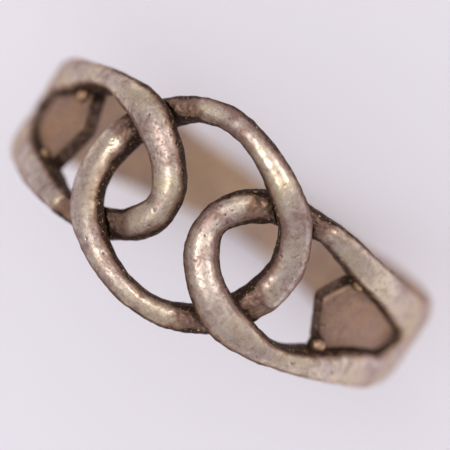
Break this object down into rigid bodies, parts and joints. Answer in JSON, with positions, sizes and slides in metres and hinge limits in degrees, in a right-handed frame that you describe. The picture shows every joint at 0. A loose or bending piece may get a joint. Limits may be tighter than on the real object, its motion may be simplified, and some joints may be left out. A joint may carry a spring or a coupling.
{
  "type": "finger ring",
  "caption": "Silver finger ring with a closed oval link woven through two hairpin loops, pointed recessed plates in the shoulders and a plain tapered band.",
  "frame": {"origin": "middle of the finger hole, on its axis, level with the middle of the rear of the band", "axes": "+Y along the finger hole, +Z out of the woven face, +X round the ring toward the right shoulder"},
  "size_m": [0.02, 0.0095, 0.0206],
  "materials": {
    "wire_silver": "worn satin silver with brown patina in the hollows",
    "band_silver": "worn satin silver, warmer inside",
    "recess_silver": "tarnished matt silver",
    "solder": "rough dark solder with worn tops"
  },
  "bodies": {
    "root": {"shank": "band_silver", "left_loop": "wire_silver", "right_loop": "wire_silver", "centre_link": "wire_silver", "left_shoulder_plate": "recess_silver", "right_shoulder_plate": "recess_silver", "left_crossing_solder": "solder", "right_crossing_solder": "solder", "left_plate_beads": "solder", "right_plate_beads": "solder"}
  },
  "joints": []
}
